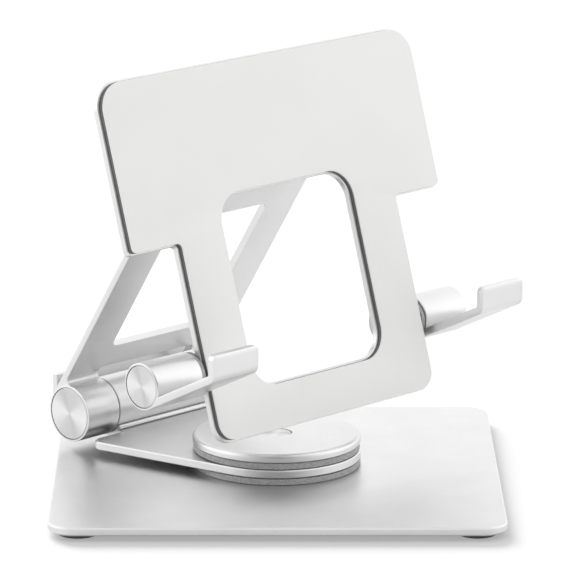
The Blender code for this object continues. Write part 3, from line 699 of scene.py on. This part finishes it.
def lower_disc():
    profile = [
        (0, ARM_BOTTOM - SEAM),
        (DISC_RADIUS - 0.35 * MM, ARM_BOTTOM - SEAM),
        (DISC_RADIUS, ARM_BOTTOM - 0.5 * MM),
        (DISC_RADIUS, 0.35 * MM),
        (DISC_RADIUS - 0.2 * MM, 0.1 * MM),
        (0, 0.1 * MM),
    ]
    made = piece("lower_disc", lathe_mesh("lower_disc", profile), SPINDLE, [PEBBLE, PEBBLE])
    finish_piece(made, "base", "grey_polymer", "turntable_base", "glide_ring")


def screw_head(name, node, place, radius, depth, drive):
    """Flat screw head in the base's underside, with a hexagon drive."""
    low = 0.1 * MM
    profile = [
        (0, depth),
        (radius * 0.55, depth),
        (radius - 0.15 * MM, low + 0.35 * MM),
        (radius, low + 0.15 * MM),
        (radius - 0.15 * MM, low),
        (0, low),
    ]
    made = piece(name, lathe_mesh(name, profile, bright=(3,), steps=64), place, [STEEL, STEEL])
    socket = tool(name, cylinder_mesh("t", drive, -OVERCUT, depth * 0.62, steps=6), place)
    combine(made, [socket], "DIFFERENCE")
    finish_piece(made, "base", "zinc_steel", node)


def underside():
    bottom = Matrix.Translation((0, 0, FOOT_HEIGHT - BASE_TOP))
    for number, spot in enumerate(screw_places(), start=1):
        place = SPINDLE @ bottom @ Matrix.Translation(spot)
        node = f"turntable_screw_{number}"
        screw_head(f"disc_screw_{number}", node, place, SCREW_HEAD, SCREW_HEAD_DEPTH, SCREW_DRIVE)
    place = SPINDLE @ bottom
    screw_head("pivot_head", "pivot_bolt", place, PIVOT_HEAD, PIVOT_HEAD_DEPTH, PIVOT_DRIVE)


# ---------------------------------------------------------------- turntable

def arm_outline():
    front = arc((0, 0), DISC_RADIUS, math.pi + ARM_FLARE, math.tau - ARM_FLARE, 72)
    tangent = Vector(front[-1])
    half = tangent.x + (ARM_REAR_EDGE - tangent.y) * math.tan(ARM_FLARE)
    rear = rounded(
        [
            (*front[-1], 0),
            (half, ARM_REAR_EDGE, ARM_REAR_CORNER),
            (-half, ARM_REAR_EDGE, ARM_REAR_CORNER),
            (*front[0], 0),
        ]
    )
    return front[:-1] + rear[:-1]


def knuckle_profile():
    """Side view of the arm's knuckle: tongue along the bottom, barrel, and the fillet between them."""
    centre = Vector((LOWER_SETBACK, ARM_BOTTOM + LOWER_RADIUS))
    rise = centre.y - (ARM_TOP + KNUCKLE_FILLET)
    reach = LOWER_RADIUS + KNUCKLE_FILLET
    run = math.sqrt(reach**2 - rise**2)
    middle = Vector((centre.x - run, ARM_TOP + KNUCKLE_FILLET))
    touch = math.atan2(middle.y - centre.y, middle.x - centre.x)
    barrel = arc(centre, LOWER_RADIUS, -math.pi / 2, touch + math.tau, 72)
    blend = arc(middle, KNUCKLE_FILLET, touch + math.pi, 1.5 * math.pi, 8)
    start = ARM_REAR_EDGE - TONGUE
    return barrel + blend[1:] + [(start, ARM_TOP), (start, ARM_BOTTOM)]


def flange_tools():
    """The upright flange behind the middle knuckle, and the root that joins it to the knuckle."""
    centre = Vector((LOWER_SETBACK, ARM_BOTTOM + LOWER_RADIUS))
    front = centre.x + FLANGE_FRONT
    back = front + SHEET
    low = centre.y - FLANGE_ROOT
    high = centre.y + FLANGE_TOP
    edge = 0.6 * MM
    wall = [(front, low, edge), (back, low, 2 * edge), (back, high, edge), (front, high, edge)]
    wall = sheet_mesh("flange", [rounded(wall)], -FLANGE_HALF, FLANGE_HALF, EDGE_WIDTH)
    root_front = centre.x + LOWER_RADIUS - SHEET
    root_back = back - 0.5 * MM
    root = [(root_front, low + 0.1 * MM), (root_back, low + 0.1 * MM)]
    root += [(root_back, centre.y + FLANGE_ROOT), (root_front, centre.y + FLANGE_ROOT)]
    root = sheet_mesh("root", [root], -MIDDLE_HALF, MIDDLE_HALF, 0.2 * MM)
    materials = [SATIN, EDGE]
    return [
        tool("flange", sideways(wall), SWIVEL, materials),
        tool("flange_root", sideways(root), SWIVEL, materials),
    ]


def arm():
    mesh = sheet_mesh("arm_shell", [arm_outline()], ARM_BOTTOM, ARM_TOP, 0.4 * MM)
    shell = piece("arm_shell", mesh, SWIVEL, [SATIN, EDGE])
    profile = sheet_mesh("knuckle", [knuckle_profile()], -MIDDLE_HALF, MIDDLE_HALF, 0.25 * MM)
    knuckle = tool("knuckle", sideways(profile), SWIVEL, [SATIN, EDGE])
    combine(shell, [knuckle, *flange_tools()], "UNION")
    centre = SWIVEL @ Matrix.Translation((0, LOWER_SETBACK, ARM_BOTTOM + LOWER_RADIUS))
    reach = MIDDLE_HALF + OVERCUT
    bore = tool("bore", along(cylinder_mesh("t", PIN_BORE, -reach, reach)), centre)
    combine(shell, [bore], "DIFFERENCE")
    finish_piece(shell, "turntable", "satin_aluminium", "swivel_arm")


def spacer():
    outer = DISC_RADIUS - RING_SETBACK
    low = ARM_TOP + SEAM
    ring = [
        (RING_HOLE, RING_TOP),
        (outer - RING_EDGE, RING_TOP),
        (outer, RING_TOP - RING_EDGE),
        (outer, low + RING_EDGE),
        (outer - RING_EDGE, low),
        (RING_HOLE, low),
    ]
    made = piece("spacer_band", ring_mesh("spacer_band", ring), SWIVEL, [PEBBLE, PEBBLE])
    finish_piece(made, "turntable", "grey_polymer", "spacer_ring")


def disc():
    """Top disc with a rounded bright rim, and the spun button in its seat."""
    low = RING_TOP + SEAM
    seat = CAP_RADIUS + 0.18 * MM
    floor_height = DISC_TOP - CAP_SEAT_DEPTH
    edge = 0.12 * MM
    rim = DISC_CHAMFER + 0.3 * MM
    crown = arc((DISC_RADIUS - rim, DISC_TOP - rim), rim, math.pi / 2, 0, 10)
    profile = [(0, floor_height), (seat, floor_height), (seat, DISC_TOP - edge)]
    profile += [(seat + edge, DISC_TOP)]
    profile += crown
    profile += [(DISC_RADIUS, low + 0.2 * MM), (DISC_RADIUS - 0.2 * MM, low), (0, low)]
    bright = range(4, 3 + len(crown))
    made = piece("disc_shell", lathe_mesh("disc_shell", profile, bright), SWIVEL, [SATIN, EDGE])
    finish_piece(made, "turntable", "satin_aluminium", "top_disc")
    low = floor_height + 0.05 * MM
    high = DISC_TOP - 0.25 * MM
    mesh = cylinder_mesh("disc_button", CAP_RADIUS, low, high, 0.15 * MM)
    made = piece("disc_button", mesh, SWIVEL, [SPUN, EDGE])
    finish_piece(made, "turntable", "spun_aluminium", "disc_cap", turned=True)


# ---------------------------------------------------------------- hinge barrels

def barrel_end(radius, end, sign):
    """Cutter for the seat of an end cap, along local X, open at the outer end."""
    return along(cylinder_mesh("t", radius - CAP_RIM, sign * end - CAP_DEPTH, sign * end + CAP_DEPTH))


def spun_cap(name, place, radius, end, sign, body, node):
    """Flush spun cap set in a barrel's end, with a seam round it and a hint of a cone."""
    outer = radius - CAP_RIM - CAP_SEAM
    profile = [
        (0, -0.10 * MM),
        (outer - 0.25 * MM, -0.02 * MM),
        (outer, -0.22 * MM),
        (outer, -CAP_DEPTH + 0.1 * MM),
        (0, -CAP_DEPTH + 0.1 * MM),
    ]
    face_out = Matrix.Rotation(sign * math.pi / 2, 4, "Y")
    turned = place @ Matrix.Translation((sign * end, 0, 0)) @ face_out
    mesh = lathe_mesh(name, profile, bright=(1,))
    made = piece(name, mesh, turned, [SPUN, EDGE])
    finish_piece(made, body, "spun_aluminium", node, turned=True)


# ---------------------------------------------------------------- rear support

def support_profile():
    """Side view of the support: outer knuckle and plate with a fillet in front of the plate."""
    front = SUPPORT_BACK - SHEET
    reach = LOWER_RADIUS + SUPPORT_FILLET
    side = front - SUPPORT_FILLET
    rise = math.sqrt(reach**2 - side**2)
    middle = Vector((side, rise))
    touch = math.atan2(middle.y, middle.x)
    barrel = arc((0, 0), LOWER_RADIUS, touch, math.tau, 96)
    blend = arc(middle, SUPPORT_FILLET, 0.0, touch - math.pi, 8)
    top = HINGE_SPAN - UPPER_SHOULDER + CUT_DEPTH
    return blend[:-1] + barrel + [(SUPPORT_BACK, SHEET_START), (SUPPORT_BACK, top), (front, top)]


def support():
    half = HINGE_HALF
    mesh = sheet_mesh("support_shell", [support_profile()], -half, half, 0.35 * MM, 1)
    shell = piece("support_shell", sideways(mesh), LOWER, [SATIN, EDGE])
    window_half, low, high, radius = SUPPORT_WINDOW
    deep = CUT_DEPTH
    front = SUPPORT_BACK - SHEET - deep
    outline = box_outline(window_half, low, high, radius)
    window = upright(sheet_mesh("t", [outline], front, deep, 0.0))
    outline = box_outline(NOTCH_HALF, -deep, NOTCH_DEPTH, NOTCH_CORNER)
    notch = upright(sheet_mesh("t", [outline], -deep, deep, 0.0))
    shoulder = HINGE_SPAN - UPPER_SHOULDER
    top = HINGE_SPAN
    wide = half + 5 * OVERCUT
    cutters = [tool("window", window, LOWER), tool("notch", notch, LOWER)]
    above = block_mesh("t", (-wide, -deep, top), (wide, deep, top + 4 * deep))
    cutters.append(tool("top", above, LOWER))
    for side, sign in SIDES:
        inner = sign * MIDDLE_HALF
        outer = sign * wide
        low_corner = (min(inner, outer), -deep, shoulder)
        high_corner = (max(inner, outer), deep, top + deep)
        cutters.append(tool("shoulder_" + side, block_mesh("t", low_corner, high_corner), LOWER))
    combine(shell, cutters, "DIFFERENCE")
    radius = UPPER_RADIUS - MIDDLE_SETBACK
    upper = along(cylinder_mesh("t", radius, -MIDDLE_HALF, MIDDLE_HALF, EDGE_WIDTH))
    combine(shell, [tool("upper", upper, UPPER, [SATIN, EDGE])], "UNION")
    cutters = [tool("bore", along(cylinder_mesh("t", PIN_BORE, -half, half)), LOWER)]
    cutters.append(tool("upper_bore", along(cylinder_mesh("t", UPPER_PIN_BORE, -half, half)), UPPER))
    for side, sign in SIDES:
        cutters.append(tool("end_" + side, barrel_end(LOWER_RADIUS, half, sign), LOWER))
    combine(shell, cutters, "DIFFERENCE")
    finish_piece(shell, "support", "satin_aluminium", "support_plate")
    for side, sign in SIDES:
        node = f"lower_hinge_cap_{side}"
        spun_cap(f"lower_cap_{side}", LOWER, LOWER_RADIUS, half, sign, "support", node)


# ---------------------------------------------------------------- tablet plate

def boss_profile():
    """Side view of the round boss behind the plate that carries a hook."""
    centre = Vector((HOOK_RADIUS - AXIS_DEPTH, HOOK_HEIGHT - AXIS_HEIGHT))
    root = METAL_BACK - AXIS_DEPTH
    inside = root - ROOT_SINK
    spread_out = math.acos((root - centre.x) / HOOK_RADIUS)
    shell = arc(centre, HOOK_RADIUS, -spread_out, spread_out, 48)
    return [(inside, shell[0][1])] + shell + [(inside, shell[-1][1])]


def knuckle_block_profile():
    """Side view of a plate knuckle: barrel with a web back to the plate."""
    root = METAL_BACK - ROOT_SINK - AXIS_DEPTH
    web = UPPER_RADIUS * WEB_SHARE
    turn = math.asin(WEB_SHARE)
    barrel = arc((0, 0), UPPER_RADIUS, math.pi + turn - math.tau, math.pi - turn, 72)
    return [(root, -web)] + barrel + [(root, web)]


def tablet_plate():
    outlines = [plate_outline(), plate_window()]
    front = METAL_FRONT - AXIS_DEPTH
    mesh = sheet_mesh("plate_shell", outlines, front, METAL_BACK - AXIS_DEPTH, EDGE_WIDTH)
    shell = piece("plate_shell", upright(mesh), UPPER, [SATIN, EDGE])
    parts = []
    for side, sign in SIDES:
        ends = sorted((sign * KNUCKLE_START, sign * HINGE_HALF))
        mesh = sheet_mesh("k", [knuckle_block_profile()], *ends, EDGE_WIDTH)
        parts.append(tool("knuckle_" + side, sideways(mesh), UPPER, [SATIN, EDGE]))
        ends = sorted((sign * BOSS_INNER, sign * LEG_HALF))
        mesh = sheet_mesh("b", [boss_profile()], *ends, EDGE_WIDTH)
        parts.append(tool("boss_" + side, sideways(mesh), UPPER, [SATIN, EDGE]))
    combine(shell, parts, "UNION")
    cutters = []
    boss = Matrix.Translation((0, HOOK_RADIUS - AXIS_DEPTH, HOOK_HEIGHT - AXIS_HEIGHT))
    for side, sign in SIDES:
        inner, outer = sorted((sign * (KNUCKLE_START - 2 * OVERCUT), sign * HINGE_HALF))
        bore = along(cylinder_mesh("t", UPPER_PIN_BORE, inner, outer))
        cutters.append(tool("bore_" + side, bore, UPPER))
        cutters.append(tool("end_" + side, barrel_end(UPPER_RADIUS, HINGE_HALF, sign), UPPER))
        inner, outer = sorted((sign * (BOSS_INNER + THREAD_END), sign * (LEG_HALF + OVERCUT)))
        thread = along(cylinder_mesh("t", HOOK_BORE, inner, outer))
        cutters.append(tool("thread_" + side, thread, UPPER @ boss))
    combine(shell, cutters, "DIFFERENCE")
    finish_piece(shell, "plate", "satin_aluminium", "tablet_plate")
    for side, sign in SIDES:
        node = f"upper_hinge_cap_{side}"
        spun_cap(f"upper_cap_{side}", UPPER, UPPER_RADIUS, HINGE_HALF, sign, "plate", node)


def pad():
    # the backing is thicker than the pad, so its dark side is partly the foam's own colour and partly
    # painted shade for the pad's edge
    outlines = [plate_outline(BACKING_INSET), plate_window(BACKING_INSET)]
    front = PAD_SKIN - AXIS_DEPTH
    back = METAL_FRONT - AXIS_DEPTH
    low = front + PAD_GAP
    high = back - BACKING_GAP
    mesh = sheet_mesh("backing_sheet", outlines, low, high, BACKING_EDGE)
    made = piece("backing_sheet", upright(mesh), UPPER, [FOAM_AND_SHADE, FOAM_AND_SHADE])
    finish_piece(made, "plate", "dark_foam", "pad_backing")
    outlines = [plate_outline(PAD_INSET), plate_window(PAD_INSET)]
    mesh = sheet_mesh("pad_sheet", outlines, -AXIS_DEPTH, front, PAD_EDGE, 3)
    made = piece("pad_sheet", upright(mesh), UPPER, [SILICONE, SILICONE])
    finish_piece(made, "plate", "pale_silicone", "tablet_pad")


# ---------------------------------------------------------------- hooks

def bent_strip(sign):
    """A flat strip with rounded lip corners, bent once near its end.

    The strip is drawn flat, length along Y and its outer face at Z = 0, cut across the bend and folded.
    """
    bend = math.pi / 2 - HOOK_RISE
    run = HOOK_BEND_RADIUS * math.tan(bend / 2)
    straight = HOOK_REACH - run
    neutral = HOOK_BEND_RADIUS - HOOK_SHEET / 2
    curl = neutral * bend
    total = straight + curl + HOOK_LIP - run
    inner, outer = HOOK_INNER, HOOK_HALF
    corners = [(inner, 0, 0), (outer, 0, 0)]
    corners += [(outer, total, HOOK_LIP_CORNER), (inner, total, HOOK_LIP_CORNER)]
    mesh = sheet_mesh("strip", [rounded(corners, 8)], 0.0, HOOK_SHEET, EDGE_WIDTH, 1)
    shape = bmesh.new()
    shape.from_mesh(mesh)
    for i in range(BEND_CUTS + 1):
        everything = shape.verts[:] + shape.edges[:] + shape.faces[:]
        place = (0, straight + curl * i / BEND_CUTS, 0)
        bmesh.ops.bisect_plane(shape, geom=everything, plane_co=place, plane_no=(0, 1, 0), dist=1e-7)
    for vert in shape.verts:
        x, y, z = vert.co
        turn = min(max((y - straight) / neutral, 0.0), bend)
        past = max(y - straight - curl, 0.0)
        radius = HOOK_BEND_RADIUS - z
        forward = min(y, straight) + radius * math.sin(turn) + past * math.cos(turn)
        rise = HOOK_BEND_RADIUS - radius * math.cos(turn) + past * math.sin(turn)
        vert.co = (sign * x, -forward, rise - HOOK_RADIUS + STRIP_SINK)
    bmesh.ops.recalc_face_normals(shape, faces=shape.faces)
    shape.to_mesh(mesh)
    shape.free()
    return mesh


def hook(side, sign):
    name = "hook_" + side
    inner, outer = sorted((sign * HOOK_INNER, sign * HOOK_HALF))
    barrel = along(cylinder_mesh(name + "_shell", HOOK_RADIUS, inner, outer, EDGE_WIDTH))
    shell = piece(name + "_shell", barrel, HOOK_AXIS, [SATIN, EDGE])
    combine(shell, [tool("strip", bent_strip(sign), HOOK_AXIS, [SATIN, EDGE])], "UNION")
    bore = along(cylinder_mesh("t", HOOK_BORE, inner - OVERCUT, outer + OVERCUT))
    bore = tool("bore", bore, HOOK_AXIS)
    seat = tool("seat", barrel_end(HOOK_RADIUS, HOOK_HALF, sign), HOOK_AXIS)
    combine(shell, [bore, seat], "DIFFERENCE")
    body = side + "_hook"
    finish_piece(shell, body, "satin_aluminium", name)
    spun_cap(name + "_disc", HOOK_AXIS, HOOK_RADIUS, HOOK_HALF, sign, body, name + "_cap")


# ---------------------------------------------------------------- carried-over hardware

def hardware():
    """The pins, nuts and washers inside the hinges keep their CAD shape and get their finish."""
    finishes = {"zinc_steel": STEEL, "white_nylon": NYLON, "grey_polymer": PEBBLE}
    slots = {part["node"]: part["material_slot"] for part in frame["record"]["subparts"]}
    for name, made in frame["nodes"].items():
        if slots[name] in finishes:
            made.data.materials.clear()
            made.data.materials.append(finishes[slots[name]])


# ---------------------------------------------------------------- floor, light and camera

def floor():
    """Pale floor whose faint glow keeps the base's shadow light, as on a studio sweep."""
    mesh = bpy.data.meshes.new("floor")
    corners = [(-1, -1), (1, -1), (1, 1), (-1, 1)]
    mesh.from_pydata([(FLOOR_REACH * x, FLOOR_REACH * y, 0) for x, y in corners], [], [(0, 1, 2, 3)])
    made, tree, shader = new_material("pale_floor", (0.32, 0.32, 0.32), 0.7, 0.0)
    colour = tint(tree, noise(tree, 3.0), (0.315,) * 3, (0.325,) * 3)
    tree.links.new(colour, shader.inputs["Base Color"])
    shader.inputs["Specular IOR Level"].default_value = 0.0
    shader.inputs["Emission Color"].default_value = (1.0, 1.0, 1.0, 1.0)
    shader.inputs["Emission Strength"].default_value = FLOOR_GLOW
    ground = piece("floor", mesh, Matrix.Identity(4), [made])
    return ground


def world():
    """Soft studio: five sides, each fading into its neighbours with the squared direction."""
    made = bpy.data.worlds.new("studio")
    bpy.context.scene.world = made
    made.use_nodes = True
    tree = made.node_tree
    background = tree.nodes["Background"]
    background.inputs["Color"].default_value = (1.0, 1.0, 1.0, 1.0)
    place = add(tree, "ShaderNodeTexCoord")
    split = add(tree, "ShaderNodeSeparateXYZ")
    tree.links.new(place.outputs["Generated"], split.inputs["Vector"])
    sides = (
        ("X", 1, WORLD_RIGHT),
        ("X", -1, WORLD_LEFT),
        ("Y", 1, WORLD_BACK),
        ("Y", -1, WORLD_FRONT),
        ("Z", 1, WORLD_TOP),
    )
    total = None
    for axis, sign, strength in sides:
        facing = calculate(tree, "MULTIPLY", split.outputs[axis], sign)
        facing = calculate(tree, "MAXIMUM", facing, 0.0)
        share = calculate(tree, "MULTIPLY", calculate(tree, "POWER", facing, 2.0), strength)
        total = calculate(tree, "ADD", share, total) if total else share
    tree.links.new(total, background.inputs["Strength"])


def calculate(tree, operation, first, second):
    """One sum, product or power in a node tree, of sockets or numbers."""
    node = add(tree, "ShaderNodeMath", operation=operation)
    for socket, value in zip(node.inputs, (first, second)):
        if isinstance(value, (int, float)):
            socket.default_value = value
        else:
            tree.links.new(value, socket)
    return node.outputs["Value"]


def linked(name, pieces):
    """A collection that a light's linking names, not part of the view's own tree."""
    group = bpy.data.collections.new(name)
    for made in pieces:
        group.objects.link(made)
    return group


def lights(ground):
    """A low wash on the floor alone, which gives the base its soft shadow to the front and right."""
    lamp = bpy.data.lights.new("floor_wash", "SUN")
    lamp.energy = FLOOR_WASH
    lamp.angle = WASH_ANGLE
    made = bpy.data.objects.new("floor_wash", lamp)
    bpy.context.scene.collection.objects.link(made)
    made.rotation_euler = (WASH_SLANT, 0, WASH_HEADING)
    made.visible_glossy = False
    made.light_linking.receiver_collection = linked("lit_floor", [ground])
    names = ("base_shell", "foot_")
    low = [part for part in bpy.data.objects if part.name.startswith(names)]
    made.light_linking.blocker_collection = linked("floor_blockers", low)


def camera():
    """A long lens in front of the base, looking a little down, as the object was photographed."""
    lens = bpy.data.cameras.new("camera")
    lens.sensor_width = 36.0
    lens.lens = CAMERA_LENS
    lens.clip_start = 0.05
    lens.clip_end = 50.0
    made = bpy.data.objects.new("camera", lens)
    bpy.context.scene.collection.objects.link(made)
    front_edge = Vector((BASE_MIDDLE.x, BASE_LOW.y, BASE_TOP))
    position = front_edge + Vector(CAMERA_OFFSET)
    turn = Matrix.Rotation(CAMERA_HEADING, 4, "Z")
    turn = turn @ Matrix.Rotation(math.pi / 2 - CAMERA_DIP, 4, "X")
    turn = turn @ Matrix.Rotation(CAMERA_ROLL, 4, "Z")
    made.matrix_world = Matrix.Translation(position) @ turn
    bpy.context.scene.camera = made
    bpy.context.scene.view_settings.view_transform = "Standard"


# ---------------------------------------------------------------- scene

base()
feet()
lower_disc()
underside()
arm()
spacer()
disc()
support()
tablet_plate()
pad()
for hook_side, hook_sign in SIDES:
    hook(hook_side, hook_sign)
hardware()
world()
lights(floor())
camera()
